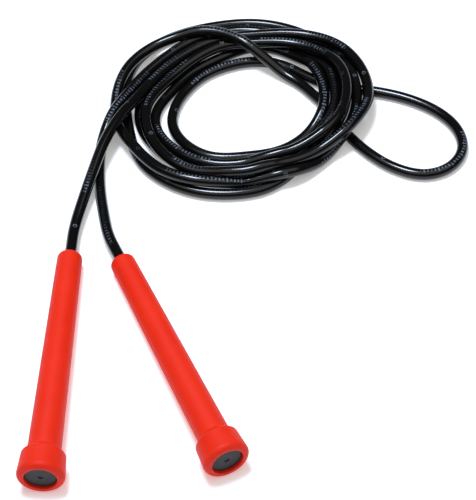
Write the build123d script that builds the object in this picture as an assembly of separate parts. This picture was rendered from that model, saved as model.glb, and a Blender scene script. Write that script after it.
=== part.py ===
from build123d import *
import math
import os

# A speed jump rope lying coiled on a floor. Millimetres, +Z up, floor at z = 0.
# The origin is on the floor, at the middle of the two handles' footprint.
# The cord is doubled, wound three times round and laid down beyond the handles (+Y),
# with the middle of the cord left out as a loop on the right (+X).

# Cord
cord_diameter = 6.0
on_floor = cord_diameter / 2 + 0.05     # height of a point where the cord lies on the floor
run_share = 0.45            # of the shorter run that each arc of a cord's tube takes up

# Handle shell, measured along its axis from the nose to the butt
handle_length = 136.0
nose_radius = 6.4          # where the nose's rounding meets the taper
nose_rounding = 2.9
grip_end_radius = 8.0     # of the taper, where the bell's shoulder starts
bell_length = 15.5
shoulder_length = 2.4
bell_step = 2.6            # the shoulder's rise in radius
bell_flare = 0.8            # from the shoulder to the widest, where the butt's rounding starts
butt_rounding = 2.6
shoulder_blend = 0.8
wall = 1.7
nose_wall = 8.0            # length of the bore that the cord runs in
bore_clearance = 0.1        # radial, round the cord
cavity_clearance = 0.2      # radial, round what slides in the cavity

# End cap, pressed into the bell's mouth
cap_seat_width = 1.4        # of the step that the cap's disc rests on
mouth_edge_round = 0.5
cap_recess = 1.4            # the cap's face lies this far inside the butt
cap_disc_thickness = 2.0
cap_edge_round = 0.4
skirt_length = 5.6
skirt_wall = 1.3
press_interference = 0.05   # radial, skirt in the cavity
cap_seat_clearance = 0.1    # radial, disc in the mouth
dimple_radius = 1.3
dimple_depth = 0.4

# Thrust washer on the cord, against the inside of the nose
washer_thickness = 1.3
face_gap = 0.1              # axial, between faces that turn on each other

# Crimped sleeve on the cord's end
sleeve_length = 7.2
sleeve_wall = 1.2
crimp_depth = 0.35
crimp_width = 1.1
crimp_count = 2
crimp_squeeze = 0.05        # radial, sleeve on the cord
cord_stub = 1.2             # cord past the sleeve
end_gap = 0.5               # between the cord's end and the cap

# Where the handles lie: the nose's end on the axis, and the heading from nose to butt,
# turned from -Y towards +X
handles = {
    "left": {"nose": (-32.13, 67.99), "heading_deg": -4.3},
    "right": {"nose": (-6.13, 63.03), "heading_deg": 21.5},
}

# The cord's route outside the coil. The first two points of a lead lie on its handle's
# axis, this far in front of the nose.
tail_reach = 5.0
first_corner = 19.0
lead_points = {
    "left": [
        (-25.6, 106.4, on_floor + 5.6),
        (-20.8, 123.2, on_floor + cord_diameter + 1.5),
        (-14.8, 142.0, on_floor + cord_diameter + 1.7),
        (-6.8, 158.8, on_floor + cord_diameter + 1.9),
        (1.2, 171.2, on_floor + cord_diameter + 1.9),
    ],
    "right": [
        (-15.7, 97.2, on_floor + 0.4),
        (-17.9, 114.4, on_floor),
        (-18.2, 131.2, on_floor),
        (-16.0, 147.6, on_floor + 0.3),
        (-11.2, 162.4, on_floor + 2.2),
        (-3.8, 174.8, on_floor + 4.3),
    ],
}
loop_points = [
    (116.8, 179.2, on_floor),
    (134.4, 176.0, on_floor),
    (152.0, 168.8, on_floor),
    (166.4, 158.4, on_floor),
    (175.6, 144.8, on_floor),
    (176.8, 128.8, on_floor),
    (167.7, 116.2, on_floor),
    (152.8, 112.0, on_floor),
    (136.8, 119.2, on_floor),
    (123.2, 132.8, on_floor),
    (112.8, 148.8, on_floor),
]

# The coil: its outline and its eye in plan, and its height
coil_outline = [
    (-12.8, 171.2), (-8.0, 196.8), (9.6, 218.4), (36.8, 227.2), (73.6, 237.6), (102.4, 226.4),
    (124.0, 201.6), (131.2, 171.2), (120.0, 143.2), (95.2, 121.6), (61.6, 104.8), (27.2, 107.2),
    (2.4, 128.0), (-9.6, 152.0),
]
coil_eye = [
    (24.8, 168.0), (32.8, 186.4), (52.8, 198.4), (73.6, 199.2), (86.4, 185.6), (100.8, 166.4),
    (96.0, 147.2), (80.0, 137.6), (59.2, 131.2), (38.4, 135.2), (26.4, 151.2),
]
coil_layers = 2.6           # cord diameters that the pile of turns is high
coil_top_rounding = 4.8
coil_foot_rounding = 2.0

bottom = (Align.CENTER, Align.CENTER, Align.MIN)
cut_margin = 1.0            # a cut reaches this far past the face that it opens
same_height = 0.001         # edges this close in height are on one level

cord_radius = cord_diameter / 2
bore_radius = cord_radius + bore_clearance
bell_front_radius = grip_end_radius + bell_step
bell_radius = bell_front_radius + bell_flare
bell_start = handle_length - bell_length
shoulder_end = bell_start + shoulder_length
widest = handle_length - butt_rounding
cavity_nose_radius = nose_radius - wall
cavity_bell_radius = grip_end_radius - wall
mouth_radius = cavity_bell_radius + cap_seat_width
cap_face = handle_length - cap_recess
cap_back = cap_face - cap_disc_thickness
skirt_end = cap_back - skirt_length
cord_end = cap_back - end_gap
sleeve_back = cord_end - cord_stub
sleeve_front = sleeve_back - sleeve_length
washer_front = nose_wall + face_gap
washer_back = washer_front + washer_thickness
washer_radius = cavity_nose_radius - cavity_clearance
sleeve_radius = cord_radius + sleeve_wall

# A handle lies on its nose and its bell, so its axis rises towards the bell
tilt = math.atan2(bell_radius - nose_radius, widest - nose_rounding)


def turned(outline):
    """The solid that an outline of (radius, height) points sweeps about the Z axis."""
    return revolve(Plane.XZ * make_face(Polyline(*outline, close=True)), axis=Axis.Z)


def rings(solid, height):
    """The circular edges of a turned solid at that height."""
    circles = solid.edges().filter_by(GeomType.CIRCLE)
    return [ring for ring in circles if abs(ring.center().Z - height) < same_height]


def handle_shell():
    """Tapered grip with a rounded nose and a flared bell, hollow behind the nose."""
    body = turned([
        (0, 0),
        (nose_radius, 0),
        (grip_end_radius, bell_start),
        (bell_front_radius, shoulder_end),
        (bell_radius, widest),
        (bell_radius, handle_length),
        (0, handle_length),
    ])
    body = fillet(rings(body, 0), nose_rounding)
    body = fillet(rings(body, handle_length), butt_rounding)
    body = fillet(rings(body, bell_start) + rings(body, shoulder_end), shoulder_blend)
    hollow = turned([
        (0, -cut_margin),
        (bore_radius, -cut_margin),
        (bore_radius, nose_wall),
        (cavity_nose_radius, nose_wall),
        (cavity_bell_radius, bell_start),
        (cavity_bell_radius, cap_back),
        (mouth_radius, cap_back),
        (mouth_radius, handle_length + cut_margin),
        (0, handle_length + cut_margin),
    ])
    shell = body - hollow
    mouth_edge = min(rings(shell, handle_length), key=lambda ring: ring.radius)
    return fillet(mouth_edge, mouth_edge_round)


def end_cap():
    """Disc in the mouth with a skirt pressed into the cavity and a gate dimple."""
    disc = Pos(0, 0, cap_back) * Cylinder(
        mouth_radius - cap_seat_clearance, cap_disc_thickness, align=bottom
    )
    disc = fillet(rings(disc, cap_face), cap_edge_round)
    skirt_radius = cavity_bell_radius + press_interference
    skirt = Pos(0, 0, skirt_end) * Cylinder(skirt_radius, skirt_length, align=bottom)
    skirt -= Pos(0, 0, skirt_end) * Cylinder(skirt_radius - skirt_wall, skirt_length, align=bottom)
    dimple = Pos(0, 0, cap_face) * Cylinder(dimple_radius, 2 * dimple_depth)
    return disc + skirt - dimple


def thrust_washer():
    """Flat ring that turns between the inside of the nose and the cord's sleeve."""
    washer = Cylinder(washer_radius, washer_thickness, align=bottom)
    washer -= Cylinder(bore_radius, washer_thickness, align=bottom)
    return Pos(0, 0, washer_front) * washer


def cord_sleeve():
    """Metal sleeve with crimped grooves that keeps the cord's end in the handle."""
    sleeve = Cylinder(sleeve_radius, sleeve_length, align=bottom)
    for index in range(crimp_count):
        middle = sleeve_length * (index + 1) / (crimp_count + 1)
        groove = Cylinder(sleeve_radius + cut_margin, crimp_width)
        groove -= Cylinder(sleeve_radius - crimp_depth, crimp_width)
        sleeve -= Pos(0, 0, middle) * groove
    sleeve -= Cylinder(cord_radius - crimp_squeeze, sleeve_length, align=bottom)
    return Pos(0, 0, sleeve_front) * sleeve


def cord_tail():
    """The straight cord from its end in the handle to just in front of the nose."""
    return Pos(0, 0, -tail_reach) * Cylinder(cord_radius, cord_end + tail_reach, align=bottom)


def cord_tube(name, points):
    """A tube along runs joined by arcs as large as each pair of runs allows."""
    runs = [Vector(b) - Vector(a) for a, b in zip(points, points[1:])]
    radii = []
    for before, after in zip(runs, runs[1:]):
        half_turn = math.radians(before.get_angle(after)) / 2
        shorter = min(before.length, after.length)
        radii.append(run_share * shorter / math.tan(half_turn))
    path = FilletPolyline(*points, radius=radii)
    tube = sweep(Plane(origin=path @ 0, z_dir=path % 0) * Circle(cord_radius), path=path)
    print(f"{name}: length {path.length:.0f}, volume over section times length "
          f"{tube.volume / (math.pi * cord_radius**2 * path.length):.4f}, "
          f"radii {[round(radius) for radius in radii]}")
    return tube


def coil():
    """The outer shape of the pile of turns, open at its eye."""
    outline = make_face(Spline(*coil_outline, periodic=True))
    eye = make_face(Spline(*coil_eye, periodic=True))
    ring = extrude(outline - eye, coil_layers * cord_diameter)
    ring = fillet(ring.edges().group_by(Axis.Z)[-1], coil_top_rounding)
    return fillet(ring.edges().group_by(Axis.Z)[0], coil_foot_rounding)


def lying(side, height):
    """A handle's own plane: at the nose's end, Z along the axis to the butt."""
    x, y = handles[side]["nose"]
    heading = math.radians(handles[side]["heading_deg"])
    level = math.cos(tilt)
    to_butt = (math.sin(heading) * level, -math.cos(heading) * level, math.sin(tilt))
    across = (math.cos(heading), math.sin(heading), 0)
    return Plane(origin=(x, y, height), x_dir=across, z_dir=to_butt)


pieces = {
    "handle": handle_shell(),
    "end_cap": end_cap(),
    "thrust_washer": thrust_washer(),
    "cord_sleeve": cord_sleeve(),
    "cord_tail": cord_tail(),
}
nose_height = -(lying("left", 0).location * pieces["handle"]).bounding_box().min.Z

nodes = {}
for side in handles:
    seat = lying(side, nose_height)
    print(f"{side} handle: nose {seat.origin}, towards the butt {seat.z_dir}")
    for name, piece in pieces.items():
        nodes[f"{name}_{side}"] = seat.location * piece
    on_axis = [tuple(seat.origin - seat.z_dir * reach) for reach in (tail_reach, first_corner)]
    nodes[f"cord_lead_{side}"] = cord_tube(f"cord_lead_{side}", on_axis + lead_points[side])
nodes["cord_loop"] = cord_tube("cord_loop", loop_points)
nodes["cord_coil"] = coil()
print(f"a handle slides {sleeve_front - washer_back - face_gap:.1f} along the cord")

os.makedirs("parts", exist_ok=True)
for name, piece in nodes.items():
    export_step(piece, f"parts/{name}.step")
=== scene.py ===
import math

import bmesh
import bpy
from mathutils import Matrix, Vector


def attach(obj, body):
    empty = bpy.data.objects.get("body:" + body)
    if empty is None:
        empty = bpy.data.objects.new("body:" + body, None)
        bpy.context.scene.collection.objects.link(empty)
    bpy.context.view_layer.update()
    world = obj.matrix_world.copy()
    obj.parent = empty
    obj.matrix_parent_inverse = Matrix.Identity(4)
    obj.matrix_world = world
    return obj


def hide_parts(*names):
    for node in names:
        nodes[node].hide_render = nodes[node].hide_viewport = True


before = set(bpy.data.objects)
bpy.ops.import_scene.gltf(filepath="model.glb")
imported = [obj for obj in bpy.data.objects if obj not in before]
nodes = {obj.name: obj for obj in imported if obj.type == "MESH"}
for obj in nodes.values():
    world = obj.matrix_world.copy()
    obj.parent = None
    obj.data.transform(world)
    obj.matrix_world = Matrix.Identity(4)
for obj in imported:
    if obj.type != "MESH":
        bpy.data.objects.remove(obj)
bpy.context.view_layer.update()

# A speed jump rope lying coiled: one glossy PVC cord, doubled and wound, with a stray
# loop at its middle, and two red tapered handles. Lengths are in millimetres up to
# the point where they are put into a mesh.
MM = 0.001

CORD_DIAMETER = 6.0
CORD_RADIUS = CORD_DIAMETER / 2
CORD_END_ROUND = 0.25       # radius of the edge at each end of the cord
CORD_SIDES = 20             # flats round the cord's mesh
STEPS_ALONG = 8             # lengths of the cord's mesh to each point of its route
FLOOR = 3.05                # height of the cord's middle where it lies on the floor
COIL_MIDDLE = Vector((60.0, 171.2, 0.0))
TURN_STEP = 10              # degrees between the points that a turn is laid through
AXIS_RISE = 0.0383          # of a handle's axis towards its butt, for each unit along it
PARTING_WIDTH = 0.24        # of the moulding's parting line

# From the cord's end in each handle to where it joins the coil
LEFT_LEAD = [
    (-42.03, -63.64, 11.38), (-31.76, 72.97, 6.13), (-30.71, 86.92, 5.6), (-25.6, 106.4, 7.6),
    (-20.8, 123.2, 9.4), (-14.8, 142.0, 12.2),
]
RIGHT_LEAD = [
    (42.25, -59.79, 11.38), (-7.96, 67.68, 6.13), (-13.09, 80.69, 5.6), (-15.7, 97.2, 3.45),
    (-17.9, 114.4, FLOOR), (-18.4, 131.2, FLOOR), (-17.4, 144.8, 5.4),
]

# The stray loop, which is the middle of the cord
STRAY_LOOP = [
    (116.8, 179.2, FLOOR), (134.4, 176.0, FLOOR), (152.0, 168.8, FLOOR), (166.4, 158.4, FLOOR),
    (175.6, 144.8, FLOOR), (176.8, 128.8, FLOOR), (167.7, 116.2, FLOOR), (152.8, 112.0, FLOOR),
    (136.8, 119.2, FLOOR), (123.2, 132.8, FLOOR), (112.8, 148.8, FLOOR),
]

# The turns, as (degrees round the coil's middle, radius, height). The first half is laid
# clockwise from the left lead in to the loop, and the second half anticlockwise from the
# loop out to the right lead, over and under the first.
FIRST_HALF = [
    (190, 67.2, 12.6), (180, 59, 10.6), (166, 52.4, 9.8), (150, 48.6, 9.4), (135, 46.8, 9.2),
    (120, 46.8, 9.2), (105, 47.4, 9.1), (75, 49.8, 9.1), (60, 55.2, 9.2), (45, 62.2, 9.2),
    (30, 66.4, 10.6), (15, 68.8, 9.8), (0, 69.2, 9.9), (-12, 68.4, 12.2), (-22, 65.8, 14.6),
    (-30, 63.8, 14.4), (-37, 61.2, 12.4), (-45, 58.4, 9.8), (-60, 55.8, 9.4), (-70, 54.8, 10.4),
    (-78, 55.2, 12.7), (-86, 56.6, 12.4), (-94, 57.2, 11.6), (-102, 56.6, 10.8),
    (-109, 57.4, 9.4), (-115, 58.8, 8.6), (-135, 58.8, 8.8), (-150, 57.2, 8.8), (-165, 55.2, 8.6),
    (-180, 52, 8.2), (-194, 46.6, 7.8), (-210, 42.4, 7.6), (-225, 40.8, 8.4), (-240, 40.6, 9),
    (-255, 41.6, 9.1), (-285, 43.2, 9.1), (-300, 47.4, 9.1), (-315, 52.4, 9.2),
    (-330, 55.6, 10.8), (-345, 56.8, 14.8), (-354, 57, 15.2), (-375, 56.8, 15.2),
    (-390, 55.6, 15), (-398, 53.8, 14.4), (-406, 51.2, 12), (-413, 49.4, 9.8), (-420, 48, 9.1),
    (-433, 45.2, 8.4), (-442, 44.6, 6.4), (-450, 44.4, 4.6), (-465, 46.2, 4), (-480, 47.8, 4),
    (-495, 49, 3.6), (-510, 49.8, FLOOR), (-525, 50, FLOOR), (-540, 46.8, FLOOR),
    (-555, 41.4, FLOOR), (-570, 38.9, FLOOR), (-585, 37.8, FLOOR), (-615, 38.8, FLOOR),
    (-645, 46.2, FLOOR), (-665, 46.6, FLOOR), (-676, 46.2, 4), (-684, 46, 7.4), (-692, 45.8, 9.1),
    (-705, 45.2, 9.2), (-726, 44.9, 9.1), (-738, 44.6, 8), (-750, 43, 4.4), (-765, 41.6, 3.1),
    (-780, 40.6, FLOOR), (-808, 38.6, FLOOR), (-840, 42.2, FLOOR), (-855, 42.4, FLOOR),
    (-885, 40.4, FLOOR), (-900, 37.2, FLOOR), (-915, 34.4, FLOOR), (-930, 32.4, FLOOR),
    (-945, 31.6, FLOOR), (-975, 31.2, FLOOR), (-1005, 34, FLOOR), (-1020, 36.2, FLOOR),
    (-1038, 38.2, FLOOR), (-1057, 42.8, FLOOR), (-1067, 49.6, FLOOR),
]
SECOND_HALF = [
    (-13, 51.2, FLOOR), (-2, 43.6, FLOOR), (8, 39, FLOOR), (24, 35, FLOOR), (41, 31.6, 4.4),
    (58, 31.4, 8), (75, 33.6, 12.2), (89, 38.8, 15), (103, 46.4, 15.2), (114, 52.4, 15.4),
    (121, 55.6, 13.6), (128, 59.2, 11.6), (136, 63.2, 10.2), (146, 66.6, 9.4), (157, 68.8, 9.2),
    (164, 69.4, 8.4), (172, 70, 6), (182, 70.2, 3.6), (192, 69.6, 6.2), (200, 68.6, 8.6),
    (210, 67.6, 9.2), (225, 68, 9.2), (245, 65.2, 9.4), (257, 61.8, 7.7), (265, 59.4, 5.4),
    (271, 58.2, 4.4), (277, 58.4, 6.6), (284, 59.6, 9), (292, 61.2, 9.2), (299, 61, 7.4),
    (307, 60.4, 4.4), (315, 60.2, 3.6), (322, 60.8, 6), (330, 61.6, 9), (338, 62.2, 9.2),
    (350, 62.6, 9.1), (360, 62.7, 9.2), (372, 62.8, 9.1), (380, 63.2, 7.4), (388, 63.8, 4.6),
    (396, 64.2, 3.1), (410, 64.6, FLOOR), (435, 64.6, FLOOR), (465, 64.6, FLOOR),
    (480, 66.8, FLOOR), (492, 68.8, FLOOR), (502, 69.6, FLOOR), (512, 69.4, FLOOR),
    (522, 67, FLOOR), (532, 64.8, FLOOR), (543, 64, FLOOR), (552, 64.2, FLOOR),
    (562, 65.6, FLOOR), (572, 68, FLOOR), (585, 68.6, FLOOR), (605, 67.8, FLOOR),
    (620, 65.8, FLOOR), (632, 64.2, FLOOR), (640, 62.8, FLOOR), (650, 59, FLOOR),
    (660, 55, FLOOR), (668, 54, 3.4), (676, 53.9, 5.2), (684, 54.4, 8.2), (692, 55.2, 9.3),
    (702, 56, 9.4), (720, 56.8, 9.2), (735, 57.3, 9.1), (742, 57.5, 7.4), (750, 57.8, 4.6),
    (760, 58.2, 3.1), (775, 58.4, FLOOR), (795, 58.2, FLOOR), (825, 57.8, FLOOR),
    (840, 53.6, FLOOR), (855, 49.8, FLOOR), (870, 51.6, FLOOR), (885, 54.2, FLOOR),
    (900, 56.8, FLOOR), (915, 57.4, FLOOR), (930, 56.2, FLOOR), (945, 55.4, FLOOR),
    (965, 53.8, FLOOR), (992, 51.4, FLOOR), (1005, 50, FLOOR), (1020, 48, FLOOR),
    (1035, 48.2, 3.4), (1044, 48.6, 5.4), (1052, 49.2, 8), (1060, 50.6, 9.1), (1080, 51, 9.2),
    (1100, 51.4, 9.1), (1108, 51.8, 6.8), (1116, 52.1, 4), (1125, 52.3, FLOOR),
    (1155, 52.5, FLOOR), (1170, 52.5, 3.6), (1178, 52.6, 6.2), (1187, 52.7, 8.8), (1200, 53, 9.2),
    (1215, 53, 9.1), (1230, 54.9, 9.1), (1240, 57.8, 9.1), (1252, 62.1, 9.4), (1262, 67.8, 10.6),
    (1268, 72.6, 10.6),
]


def laid_turns(stations):
    """Points every TURN_STEP degrees round the coil, on smooth curves through the stations."""
    slopes = []
    for (a0, *p0), (a1, *p1) in zip(stations, stations[1:]):
        slopes.append([(q - p) / (a1 - a0) for p, q in zip(p0, p1)])
    spans = [abs(after[0] - before[0]) for before, after in zip(stations, stations[1:])]
    leans = [slopes[0]]
    for i in range(1, len(slopes)):
        share = spans[i - 1] + spans[i]
        leans.append([(s * spans[i] + t * spans[i - 1]) / share
                      for s, t in zip(slopes[i - 1], slopes[i])])
    leans.append(slopes[-1])
    first, last = stations[0][0], stations[-1][0]
    steps = round(abs(last - first) / TURN_STEP)
    points = []
    i = 0
    for step in range(steps + 1):
        angle = first + (last - first) * step / steps
        while i < len(spans) - 1 and abs(angle - first) >= abs(stations[i + 1][0] - first):
            i += 1
        (a0, *p0), (a1, *p1) = stations[i], stations[i + 1]
        width = a1 - a0
        u = (angle - a0) / width
        # Cubic that meets both stations with the lean of the line at each
        radius, height = (
            (2 * u**3 - 3 * u**2 + 1) * p + (u**3 - 2 * u**2 + u) * width * m
            + (3 * u**2 - 2 * u**3) * q + (u**3 - u**2) * width * n
            for p, q, m, n in zip(p0, p1, leans[i], leans[i + 1])
        )
        turned = Vector((math.cos(math.radians(angle)), math.sin(math.radians(angle)), 0))
        points.append(COIL_MIDDLE + turned * radius + Vector((0, 0, max(height, FLOOR))))
    return points


def cord_line(points):
    """The points of the smooth line that a NURBS spline makes of the route, in metres."""
    route = bpy.data.curves.new("cord_route", "CURVE")
    route.dimensions = "3D"
    route.resolution_u = STEPS_ALONG
    spline = route.splines.new("NURBS")
    spline.points.add(len(points) - 1)
    for knot, point in zip(spline.points, points):
        knot.co = (*(Vector(point) * MM), 1)
    spline.order_u = 3
    spline.use_endpoint_u = True
    holder = bpy.data.objects.new("cord_route", route)
    bpy.context.collection.objects.link(holder)
    bpy.context.view_layer.update()
    mesh = bpy.data.meshes.new_from_object(holder)
    line = [vertex.co.copy() for vertex in mesh.vertices]
    bpy.data.objects.remove(holder)
    bpy.data.curves.remove(route)
    bpy.data.meshes.remove(mesh)
    return line


def cord_tube(name, line):
    """A round tube along the line. Its UV map holds metres along it and the turn round it,
    from 0 at its underside by 0.5 on top, for the print and the extrusion lines."""
    sides = CORD_SIDES
    edge_round = CORD_END_ROUND * MM
    radius = CORD_RADIUS * MM
    along = [0.0]
    for before, after in zip(line, line[1:]):
        along.append(along[-1] + (after - before).length)
    bm = bmesh.new()
    uv = bm.loops.layers.uv.new("cord")

    def ring(middle, heading, size):
        side = heading.cross(Vector((0, 0, 1))).normalized()
        up = side.cross(heading)
        return [
            bm.verts.new(middle + size * (math.sin(turn) * side - math.cos(turn) * up))
            for turn in (2 * math.pi * k / sides for k in range(sides))
        ]

    headings = [
        (line[min(i + 1, len(line) - 1)] - line[max(i - 1, 0)]).normalized()
        for i in range(len(line))
    ]
    rings = [(along[0], ring(line[0], headings[0], radius - edge_round))]
    for i in range(len(line)):
        middle = line[i]
        if i == 0:
            middle = middle + headings[0] * edge_round
        if i == len(line) - 1:
            middle = middle - headings[-1] * edge_round
        rings.append((along[i], ring(middle, headings[i], radius)))
    rings.append((along[-1], ring(line[-1], headings[-1], radius - edge_round)))
    for (a, low), (b, high) in zip(rings, rings[1:]):
        for k in range(sides):
            n = (k + 1) % sides
            face = bm.faces.new((low[k], low[n], high[n], high[k]))
            face.smooth = True
            places = ((a, k), (a, k + 1), (b, k + 1), (b, k))
            for loop, (u, v) in zip(face.loops, places):
                loop[uv].uv = (u, v / sides)
    for end, verts in ((0, rings[0][1]), (-1, rings[-1][1])):
        tip = bm.verts.new(line[end])
        for k in range(sides):
            bm.faces.new((verts[k], verts[(k + 1) % sides], tip))
    bmesh.ops.recalc_face_normals(bm, faces=bm.faces)
    mesh = bpy.data.meshes.new(name)
    bm.to_mesh(mesh)
    bm.free()
    tube = bpy.data.objects.new(name, mesh)
    bpy.context.collection.objects.link(tube)
    return tube


# ---------------------------------------------------------------- camera
# It looks down at the rope from in front of the handles.
CAMERA_PLACE = Vector((53.31, -480.25, 676.41))
LOOK_DOWN = math.radians(50.82)
ROLL = math.radians(2.975)
forward = Vector((0, math.cos(LOOK_DOWN), -math.sin(LOOK_DOWN)))
level = Vector((1, 0, 0))
down = Vector((0, -math.sin(LOOK_DOWN), -math.cos(LOOK_DOWN)))
right = math.cos(ROLL) * level + math.sin(ROLL) * down
below = math.cos(ROLL) * down - math.sin(ROLL) * level
camera = bpy.data.objects.new("camera", bpy.data.cameras.new("camera"))
camera.data.lens = 122.4
camera.data.sensor_width = 36.0
camera.data.clip_start = 0.01
axes = Matrix((right, -below, -forward)).transposed()
camera.matrix_world = Matrix.Translation(CAMERA_PLACE * MM) @ axes.to_4x4()
bpy.context.collection.objects.link(camera)
bpy.context.scene.camera = camera

# ---------------------------------------------------------------- cord
route = [Vector(point) for point in LEFT_LEAD]
route += laid_turns(FIRST_HALF)
route += [Vector(point) for point in STRAY_LOOP]
route += laid_turns(SECOND_HALF)
route += [Vector(point) for point in reversed(RIGHT_LEAD)]
line = cord_line(route)
cord = cord_tube("cord", line)
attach(cord, "cord")
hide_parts("cord_tail_left", "cord_tail_right", "cord_lead_left", "cord_lead_right",
            "cord_loop", "cord_coil")
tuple(line[0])


# ---------------------------------------------------------------- materials
def linear(hex_colour):
    """A colour given as sRGB hex, as the linear red, green, blue and alpha that Blender uses."""
    values = [int(hex_colour[i:i + 2], 16) / 255 for i in (1, 3, 5)]
    return [v / 12.92 if v <= 0.04045 else ((v + 0.055) / 1.055) ** 2.4 for v in values] + [1]


def add(tree, kind, inputs=None, **settings):
    """Adds a node with its settings, and gives its inputs their values or links."""
    new = tree.nodes.new(kind)
    for name, value in settings.items():
        setattr(new, name, value)
    for name, value in (inputs or {}).items():
        if isinstance(value, bpy.types.NodeSocket):
            tree.links.new(value, new.inputs[name])
        else:
            new.inputs[name].default_value = value
    return new


def maths_in(tree):
    """A short way to add a maths node to a tree and get its result."""
    def maths(operation, first, second=0.0, third=0.0):
        return add(tree, "ShaderNodeMath", {0: first, 1: second, 2: third},
                   operation=operation).outputs[0]
    return maths


def mixed(tree, share, low, high):
    """Two colours mixed by a share, each given as sRGB hex or as another node's output."""
    low, high = (linear(c) if isinstance(c, str) else c for c in (low, high))
    return add(tree, "ShaderNodeMix", {0: share, 6: low, 7: high}, data_type="RGBA").outputs[2]


def material(name):
    """An empty node material with its Principled shader."""
    made = bpy.data.materials.new(name)
    made.use_nodes = True
    return made, made.node_tree, made.node_tree.nodes["Principled BSDF"]


def cord_pvc():
    """Plasticised PVC, extruded and left glossy: near black, with crisp highlights that
    waver a little, faint lines along its length and a worn print in grey blue."""
    made, tree, shader = material("extruded_pvc_black")
    place = add(tree, "ShaderNodeUVMap", uv_map="cord")
    split = add(tree, "ShaderNodeSeparateXYZ", {"Vector": place.outputs["UV"]})
    along, turn = split.outputs["X"], split.outputs["Y"]
    maths = maths_in(tree)

    # The print runs along the upper side and wanders round it as the cord twists
    wander = add(tree, "ShaderNodeTexNoise", {"W": along, "Scale": 7.0, "Detail": 1.0},
                 noise_dimensions="1D")
    centre = maths("MULTIPLY_ADD", wander.outputs["Fac"], 0.62, 0.17)
    off_centre = maths("ABSOLUTE", maths("SUBTRACT", turn, centre))
    across = maths("MULTIPLY", off_centre, math.pi * CORD_DIAMETER)       # in millimetres
    length_mm = maths("MULTIPLY", along, 1000.0)
    # Ticks, each fourth one tall, in stretches with a small ring between one and the next.
    # All in millimetres, and the tick's and the ring's places as shares of what they repeat in.
    tick_pitch, tick_half_height, tall_extra = 2.0, 0.8, 0.4
    print_repeat, stretch_share, ring_place = 86.0, 0.49, 0.745
    ring_outer, ring_inner = 1.15, 0.55
    tick = maths("LESS_THAN", maths("FRACT", maths("DIVIDE", length_mm, tick_pitch)), 0.5)
    fourth = maths("LESS_THAN", maths("FRACT", maths("DIVIDE", length_mm, 4 * tick_pitch)), 0.25)
    tall = maths("MULTIPLY_ADD", fourth, tall_extra, tick_half_height)
    ticks = maths("MULTIPLY", tick, maths("LESS_THAN", across, tall))
    repeat = maths("FRACT", maths("DIVIDE", length_mm, print_repeat))
    stretch = maths("LESS_THAN", repeat, stretch_share)
    ring_off = maths("MULTIPLY", maths("SUBTRACT", repeat, ring_place), print_repeat)
    ring_reach = maths("SQRT", maths("ADD", maths("POWER", ring_off, 2.0),
                                     maths("POWER", across, 2.0)))
    ring = maths("MULTIPLY", maths("LESS_THAN", ring_reach, ring_outer),
                 maths("GREATER_THAN", ring_reach, ring_inner))
    print_mask = maths("ADD", maths("MULTIPLY", ticks, stretch), ring)
    coords = add(tree, "ShaderNodeTexCoord").outputs["Object"]
    wear = add(tree, "ShaderNodeTexNoise", {"Vector": coords, "Scale": 900.0, "Detail": 2.0})
    worn = add(tree, "ShaderNodeMapRange", {"Value": wear.outputs["Fac"], "From Min": 0.36,
                                            "From Max": 0.6, "To Min": 0.08, "To Max": 0.42})
    # Whole stretches of it have faded, over lengths of about 90 mm
    fading = add(tree, "ShaderNodeTexNoise", {"W": along, "Scale": 11.0, "Detail": 0.0},
                 noise_dimensions="1D")
    faded = add(tree, "ShaderNodeMapRange", {"Value": fading.outputs["Fac"], "From Min": 0.4,
                                             "From Max": 0.6, "To Min": 0.12, "To Max": 1.25})
    ink = maths("MULTIPLY", maths("MULTIPLY", print_mask, worn.outputs["Result"]),
                faded.outputs["Result"])

    # A slow change between a warmer and a cooler black, about 40 mm from one to the next
    tone = add(tree, "ShaderNodeTexNoise", {"Vector": coords, "Scale": 25.0, "Detail": 2.0})
    black = mixed(tree, tone.outputs["Fac"], "#040404", "#0B0A0A")
    tree.links.new(mixed(tree, ink, black, "#8791A0"), shader.inputs["Base Color"])

    # Fine scuffs and finger marks raise the roughness in patches
    marks = add(tree, "ShaderNodeTexNoise", {"Vector": coords, "Scale": 160.0, "Detail": 5.0,
                                             "Roughness": 0.62})
    rough = add(tree, "ShaderNodeMapRange", {"Value": marks.outputs["Fac"], "From Min": 0.35,
                                             "From Max": 0.75, "To Min": 0.14, "To Max": 0.2})
    inked = maths("MULTIPLY_ADD", ink, 0.25, rough.outputs["Result"])
    tree.links.new(inked, shader.inputs["Roughness"])

    # Extrusion lines 0.5 mm apart round the cord, that run along it, and a slow waver
    lines_at = add(tree, "ShaderNodeCombineXYZ", {"X": maths("MULTIPLY", along, 12.0),
                                                  "Y": maths("MULTIPLY", turn, 36.0)})
    lines = add(tree, "ShaderNodeTexNoise", {"Vector": lines_at.outputs[0], "Scale": 1.0,
                                             "Detail": 2.0})
    waver = add(tree, "ShaderNodeTexNoise", {"Vector": coords, "Scale": 60.0, "Detail": 0.0})
    low = add(tree, "ShaderNodeBump", {"Height": waver.outputs["Fac"], "Distance": 0.0005,
                                       "Strength": 0.06})
    bump = add(tree, "ShaderNodeBump", {"Height": lines.outputs["Fac"], "Distance": 0.00006,
                                        "Strength": 0.12, "Normal": low.outputs["Normal"]})
    tree.links.new(bump.outputs["Normal"], shader.inputs["Normal"])
    shader.inputs["IOR"].default_value = 1.54
    shader.inputs["Specular IOR Level"].default_value = 0.28
    shader.inputs["Coat Weight"].default_value = 0.15
    shader.inputs["Coat Roughness"].default_value = 0.06
    return made


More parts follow.
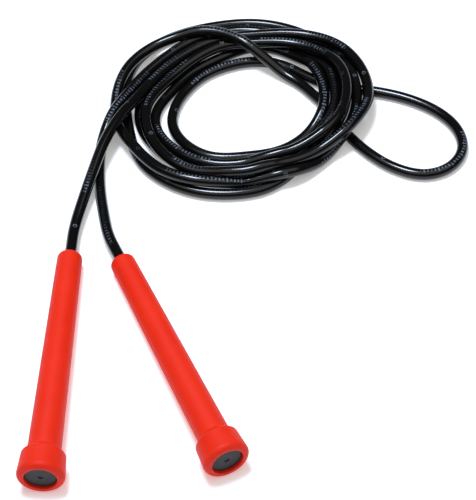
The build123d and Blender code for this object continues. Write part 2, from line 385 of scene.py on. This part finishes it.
def handle_plastic(name, nose, heading):
    """Moulded polypropylene, bright red: satin from a fine sparked grain, with a thin
    parting line along both sides and faint rubbed patches from hands."""
    made, tree, shader = material(name)
    coords = add(tree, "ShaderNodeTexCoord").outputs["Object"]
    # The handle's own frame, from its nose: X across it and the butt towards -Y
    own = add(tree, "ShaderNodeMapping", {"Vector": coords, "Location": nose,
                                          "Rotation": (0, 0, heading)}, vector_type="TEXTURE")
    parts = add(tree, "ShaderNodeSeparateXYZ", {"Vector": own.outputs["Vector"]})
    maths = maths_in(tree)

    # Sparked grain of 0.5 mm, and patches of about 17 mm that hands have rubbed
    grain = add(tree, "ShaderNodeTexNoise", {"Vector": coords, "Scale": 2000.0, "Detail": 3.0,
                                             "Roughness": 0.6})
    patches = add(tree, "ShaderNodeTexNoise", {"Vector": coords, "Scale": 60.0, "Detail": 4.0,
                                               "Roughness": 0.55})
    red = mixed(tree, patches.outputs["Fac"], "#E2230C", "#EE3010")
    tree.links.new(red, shader.inputs["Base Color"])
    rough = add(tree, "ShaderNodeMapRange", {"Value": patches.outputs["Fac"], "From Min": 0.3,
                                             "From Max": 0.7, "To Min": 0.5, "To Max": 0.62})
    tree.links.new(rough.outputs["Result"], shader.inputs["Roughness"])
    # The parting line stands proud on both sides of the handle, level with its axis
    above_axis = maths("SUBTRACT", parts.outputs["Z"],
                       maths("MULTIPLY", parts.outputs["Y"], -AXIS_RISE))
    parting = maths("LESS_THAN", maths("ABSOLUTE", above_axis), PARTING_WIDTH * MM / 2)
    fine = add(tree, "ShaderNodeBump", {"Height": grain.outputs["Fac"], "Distance": 0.0001,
                                        "Strength": 0.35})
    bump = add(tree, "ShaderNodeBump", {"Height": parting, "Distance": 0.0001,
                                        "Strength": 0.5, "Normal": fine.outputs["Normal"]})
    tree.links.new(bump.outputs["Normal"], shader.inputs["Normal"])
    shader.inputs["IOR"].default_value = 1.49
    shader.inputs["Specular IOR Level"].default_value = 0.2
    shader.inputs["Subsurface Weight"].default_value = 0.08
    shader.inputs["Subsurface Radius"].default_value = (0.002, 0.0006, 0.0004)
    return made


def cap_plastic(name, butt):
    """Moulded polyethylene, charcoal: satin with a fine grain and a little dust, and a painted
    highlight that makes the middle of its face lighter."""
    made, tree, shader = material(name)
    coords = add(tree, "ShaderNodeTexCoord").outputs["Object"]
    dust = add(tree, "ShaderNodeTexNoise", {"Vector": coords, "Scale": 700.0, "Detail": 4.0})
    # Painted highlight: the face is lighter towards its middle, within 6.5 mm of the butt's
    # centre
    reach = add(tree, "ShaderNodeVectorMath", {0: coords, 1: butt}, operation="DISTANCE")
    painted_centre_highlight = add(tree, "ShaderNodeMapRange", {"Value": reach.outputs["Value"], "From Min": 0.002,
                                              "From Max": 0.0065, "To Min": 0.75, "To Max": 0.0})
    # Dust plus the painted highlight give the share of the lighter charcoal
    worn = maths_in(tree)("MULTIPLY_ADD", dust.outputs["Fac"], 0.4, painted_centre_highlight.outputs["Result"])
    tree.links.new(mixed(tree, worn, "#060607", "#1E2022"), shader.inputs["Base Color"])
    rough = add(tree, "ShaderNodeMapRange", {"Value": dust.outputs["Fac"], "To Min": 0.35,
                                             "To Max": 0.6})
    tree.links.new(rough.outputs["Result"], shader.inputs["Roughness"])
    grain = add(tree, "ShaderNodeTexNoise", {"Vector": coords, "Scale": 2500.0, "Detail": 2.0})
    bump = add(tree, "ShaderNodeBump", {"Height": grain.outputs["Fac"], "Distance": 0.0001,
                                        "Strength": 0.2})
    tree.links.new(bump.outputs["Normal"], shader.inputs["Normal"])
    shader.inputs["IOR"].default_value = 1.51
    shader.inputs["Specular IOR Level"].default_value = 0.35
    return made


def washer_nylon():
    """Moulded nylon in its own colour: a warm milky white that light sinks into."""
    made, tree, shader = material("moulded_nylon_natural")
    coords = add(tree, "ShaderNodeTexCoord").outputs["Object"]
    cloud = add(tree, "ShaderNodeTexNoise", {"Vector": coords, "Scale": 400.0, "Detail": 3.0})
    milky = mixed(tree, cloud.outputs["Fac"], "#D9D5C6", "#EAE7DC")
    tree.links.new(milky, shader.inputs["Base Color"])
    bump = add(tree, "ShaderNodeBump", {"Height": cloud.outputs["Fac"], "Distance": 0.00005,
                                        "Strength": 0.3})
    tree.links.new(bump.outputs["Normal"], shader.inputs["Normal"])
    shader.inputs["Roughness"].default_value = 0.42
    shader.inputs["Subsurface Weight"].default_value = 0.2
    shader.inputs["Subsurface Radius"].default_value = (0.001, 0.001, 0.0008)
    return made


def sleeve_aluminium():
    """Drawn aluminium tube, crimped: bright, with fine scratches and dull bruises."""
    made, tree, shader = material("drawn_aluminium_crimped")
    coords = add(tree, "ShaderNodeTexCoord").outputs["Object"]
    scratch = add(tree, "ShaderNodeTexNoise", {"Vector": coords, "Scale": 1800.0, "Detail": 4.0})
    bright = mixed(tree, scratch.outputs["Fac"], "#B9BCC0", "#D6D8DA")
    tree.links.new(bright, shader.inputs["Base Color"])
    rough = add(tree, "ShaderNodeMapRange", {"Value": scratch.outputs["Fac"], "To Min": 0.22,
                                             "To Max": 0.5})
    tree.links.new(rough.outputs["Result"], shader.inputs["Roughness"])
    bump = add(tree, "ShaderNodeBump", {"Height": scratch.outputs["Fac"], "Distance": 0.00005,
                                        "Strength": 0.4})
    tree.links.new(bump.outputs["Normal"], shader.inputs["Normal"])
    shader.inputs["Metallic"].default_value = 1.0
    return made


def dress(piece, finish):
    """Gives a piece its finish, in place of any that it has."""
    if not piece.material_slots:
        piece.data.materials.append(finish)
    for held in piece.material_slots:
        held.material = finish


dress(cord, cord_pvc())
nylon, aluminium = washer_nylon(), sleeve_aluminium()
# For each handle: its nose and the middle of its butt, in metres, and its heading
handle_places = {
    "left": ((-0.03213, 0.06799, 0.00632), (-0.04232, -0.06753, 0.01153), math.radians(-4.3)),
    "right": ((-0.00613, 0.06303, 0.00632), (0.04368, -0.06341, 0.01153), math.radians(21.5)),
}
for side, (nose, butt, heading) in handle_places.items():
    red = handle_plastic(f"moulded_polypropylene_red_{side}", nose, heading)
    dress(nodes[f"handle_{side}"], red)
    dress(nodes[f"end_cap_{side}"], cap_plastic(f"moulded_polyethylene_charcoal_{side}", butt))
    dress(nodes[f"thrust_washer_{side}"], nylon)
    dress(nodes[f"cord_sleeve_{side}"], aluminium)

# ---------------------------------------------------------------- floor and light
bpy.ops.object.select_all(action="DESELECT")
bpy.ops.mesh.primitive_plane_add(size=8.0, location=(0, 0, 0))
floor = bpy.context.object
floor.name = "floor"
paper, paper_tree, paper_shader = material("white_paper")
paper_shader.inputs["Base Color"].default_value = linear("#F4F4F4")
paper_shader.inputs["Roughness"].default_value = 0.9
paper_shader.inputs["Specular IOR Level"].default_value = 0.1
paper_shader.inputs["Emission Color"].default_value = linear("#FFFFFF")
paper_shader.inputs["Emission Strength"].default_value = 0.3
dress(floor, paper)

world = bpy.data.worlds.new("studio")
world.use_nodes = True
world.node_tree.nodes["Background"].inputs["Color"].default_value = linear("#FFFFFF")
world.node_tree.nodes["Background"].inputs["Strength"].default_value = 0.08
bpy.context.scene.world = world


def soft_light(name, place, towards, size, watts, colour):
    """A rectangular soft light that faces a point."""
    data = bpy.data.lights.new(name, "AREA")
    data.shape = "RECTANGLE"
    data.size, data.size_y = size
    data.energy = watts
    data.color = linear(colour)[:3]
    lamp = bpy.data.objects.new(name, data)
    lamp.location = place
    facing = Vector(towards) - Vector(place)
    lamp.rotation_euler = facing.to_track_quat("-Z", "Y").to_euler()
    bpy.context.collection.objects.link(lamp)


soft_light("key", (-0.1, 0.25, 1.4), (0.05, 0.08, 0), (0.42, 0.3), 20.0, "#D8E8FF")
soft_light("overhead", (0.15, -0.2, 1.5), (0.05, 0.08, 0), (2.4, 1.8), 14.0, "#FFFDF8")
bpy.context.scene.view_settings.view_transform = "Standard"
